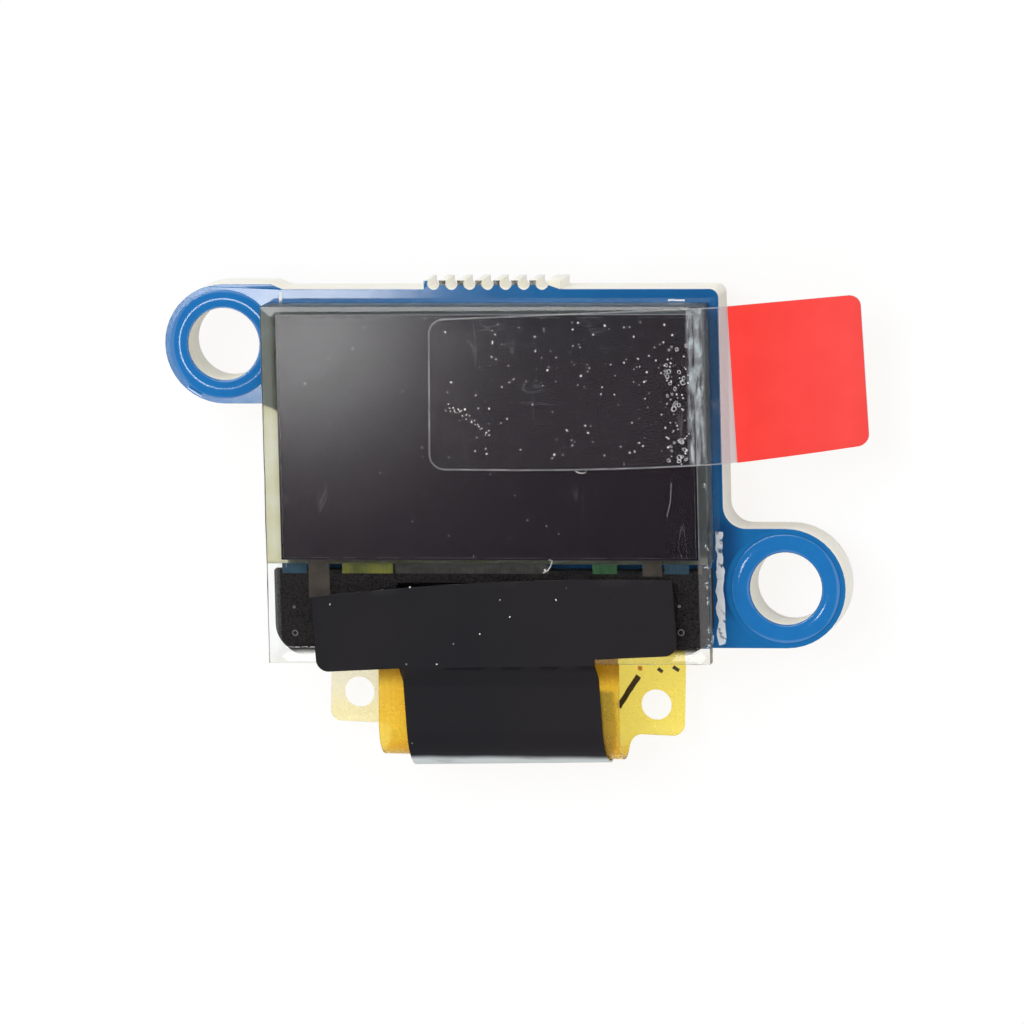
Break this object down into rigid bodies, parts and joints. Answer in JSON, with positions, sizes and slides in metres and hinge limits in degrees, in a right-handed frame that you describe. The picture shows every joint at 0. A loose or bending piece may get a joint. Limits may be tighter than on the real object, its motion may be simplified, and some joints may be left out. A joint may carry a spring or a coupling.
{
  "type": "small oled module",
  "caption": "Small display module: glass panel on a blue two-eared board, with folded yellow flexible circuit, black tape and red pull label.",
  "frame": {"origin": "midway between the two ear holes, on the back face of the board", "axes": "+X to the right and +Y up as the display is read, +Z out of the display face"},
  "size_m": [0.0229, 0.0158, 0.0041],
  "materials": {
    "board": "blue solder mask over glass fibre laminate",
    "panel_glass": "polished, clear",
    "polarizer": "dark, gloss",
    "clear_film": "clear, gloss, with trapped bubbles",
    "red_film": "satin red",
    "black_tape": "satin black",
    "black_foam": "matt black",
    "flex": "golden polyimide",
    "solder": "bright tin",
    "ceramic_chip": "matt tan ceramic with tinned ends",
    "resistor_chip": "black with tinned ends",
    "moulded_black": "matt moulding compound",
    "silicon": "polished silicon",
    "seal_glue": "cured clear glue, yellowish",
    "emitter": "mirror cathode",
    "white_adhesive": "double-sided tape"
  },
  "bodies": {
    "root": {"circuit_board": "board", "mounting_tape": "white_adhesive", "cap_glass": "panel_glass", "getter_sheet": "white_adhesive", "seal_frame": "seal_glue", "emitter_layers": "emitter", "front_glass": "panel_glass", "polarizer": "polarizer", "protective_film": "clear_film", "pull_label": "clear_film", "pull_grip": "red_film", "driver_chip": "silicon", "ledge_foam": "black_foam", "flex_circuit": "flex", "flex_solder": "solder", "black_tape": "black_tape", "regulator": "moulded_black", "chip_solder": "solder", "wire_pad_1": "solder", "wire_pad_2": "solder", "wire_pad_3": "solder", "wire_pad_4": "solder", "large_capacitor_1": "ceramic_chip", "large_capacitor_2": "ceramic_chip", "large_capacitor_3": "ceramic_chip", "small_capacitor_1": "ceramic_chip", "small_capacitor_2": "ceramic_chip", "small_capacitor_3": "ceramic_chip", "small_capacitor_4": "ceramic_chip", "resistor_1": "resistor_chip", "resistor_2": "resistor_chip", "resistor_3": "resistor_chip", "resistor_4": "resistor_chip"}
  },
  "joints": []
}
